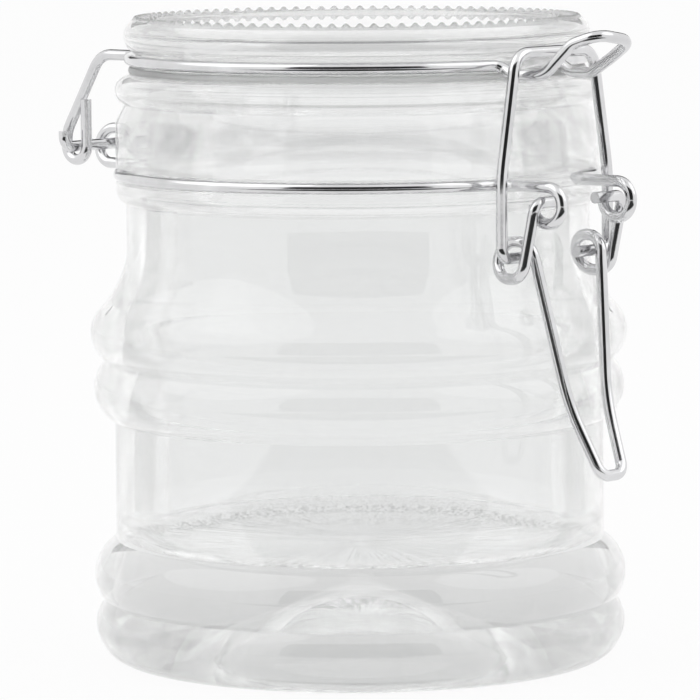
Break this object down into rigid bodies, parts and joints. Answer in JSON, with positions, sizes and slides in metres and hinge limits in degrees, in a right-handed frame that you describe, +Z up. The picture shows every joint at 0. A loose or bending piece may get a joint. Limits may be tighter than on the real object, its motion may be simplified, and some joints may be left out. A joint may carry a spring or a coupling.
{
  "type": "clip-top glass jar",
  "caption": "Round glass storage jar with swelling ribs, a flat glass lid on a wire hinge, a clear sealing ring and a wire bail latch closed by a lever handle.",
  "frame": {"origin": "on the table, in the middle of the ring the jar stands on", "axes": "+Z up along the jar, +X towards the latch, -X towards the hinge, +Y along the hinge pin"},
  "size_m": [0.1224, 0.1004, 0.1205],
  "materials": {
    "jar_glass": "clear pressed glass",
    "lid_glass": "clear pressed glass",
    "seal": "translucent silicone",
    "wire": "bright drawn steel wire"
  },
  "bodies": {
    "jar": {"jar_body": "jar_glass", "neck_band": "wire", "hinge_pin": "wire"},
    "lid": {"lid_glass": "lid_glass", "seal_ring": "seal", "lid_wire": "wire"},
    "lever": {"latch_lever": "wire"},
    "bail": {"latch_bail": "wire"}
  },
  "joints": [
    {"name": "lid_hinge", "type": "hinge", "parent": "jar", "child": "lid", "pos_m": [-0.055, 0, 0.0949], "axis": [0, -1, 0], "range_deg": [0, 105]},
    {"name": "lever_hinge", "type": "hinge", "parent": "jar", "child": "lever", "pos_m": [0.0537, 0, 0.08845], "axis": [0, -1, 0], "range_deg": [0, 130]},
    {"name": "bail_hinge", "type": "hinge", "parent": "lever", "child": "bail", "pos_m": [0.048, 0, 0.07825], "axis": [0, -1, 0], "range_deg": [-97.5, 0]}
  ],
  "couplings": [
    {"joint": "bail_hinge", "follows": "lever_hinge", "ratio": -0.75}
  ]
}
